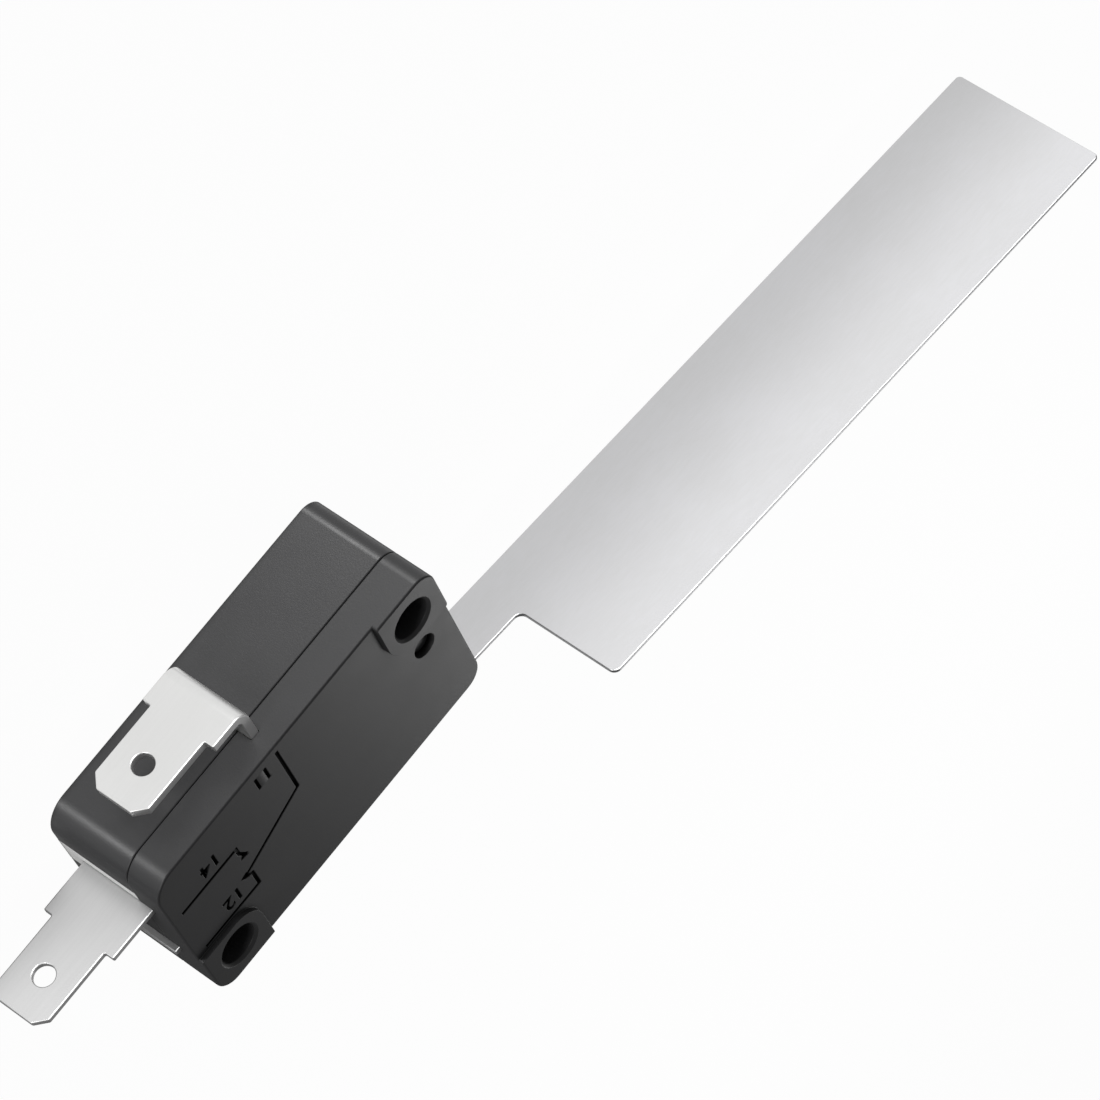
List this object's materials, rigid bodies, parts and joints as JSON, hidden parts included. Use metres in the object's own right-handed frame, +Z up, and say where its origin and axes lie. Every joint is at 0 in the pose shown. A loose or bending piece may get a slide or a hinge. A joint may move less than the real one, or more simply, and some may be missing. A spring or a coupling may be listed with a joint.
{
  "type": "airflow sail switch",
  "caption": "Small snap-action switch with a long flat metal sail on its lever, two flat push-on tabs and two mounting holes.",
  "frame": {"origin": "axis of the mounting hole nearest the terminals, on the flat back of the case", "axes": "+X along the body towards the terminals, +Y across it towards the plunger and sail, +Z up from the case back through the cover"},
  "size_m": [0.0965, 0.0309, 0.0156],
  "materials": {
    "black_plastic": "fine satin moulding",
    "pale_plastic": "natural, smooth",
    "plated_sheet": "bright plated sheet",
    "spring_sheet": "spring strip",
    "contact_metal": "turned rivet",
    "sail_sheet": "satin rolled sheet"
  },
  "bodies": {
    "housing": {"case": "black_plastic", "cover": "black_plastic", "terminal_insert": "pale_plastic", "common_terminal": "plated_sheet", "normally_open_terminal": "plated_sheet", "normally_closed_terminal": "plated_sheet", "normally_open_contact": "contact_metal", "normally_closed_contact": "contact_metal", "bow_spring": "spring_sheet"},
    "sail_lever": {"sail": "sail_sheet"},
    "plunger_pin": {"plunger": "black_plastic"},
    "snap_blade": {"contact_blade": "spring_sheet", "moving_contact": "contact_metal"}
  },
  "joints": [
    {"name": "sail_hinge", "type": "hinge", "parent": "housing", "child": "sail_lever", "pos_m": [-0.0024, 0.0017, 0.00501], "axis": [0, 0, 1], "range_deg": [0, 5], "stiffness_Nm_per_rad": 0.02, "springref_deg": -5.73},
    {"name": "plunger_slide", "type": "slide", "parent": "housing", "child": "plunger_pin", "axis": [0, 1, 0], "range_m": [-0.00135, 0]},
    {"name": "blade_swing", "type": "hinge", "parent": "housing", "child": "snap_blade", "pos_m": [-0.0204, -0.00558, 0.00495], "axis": [0, 0, 1], "range_deg": [-3.2, 0]}
  ],
  "couplings": [
    {"joint": "plunger_slide", "follows": "sail_hinge", "m_per_rad": -0.01524},
    {"joint": "blade_swing", "follows": "sail_hinge", "ratio": -0.63}
  ]
}
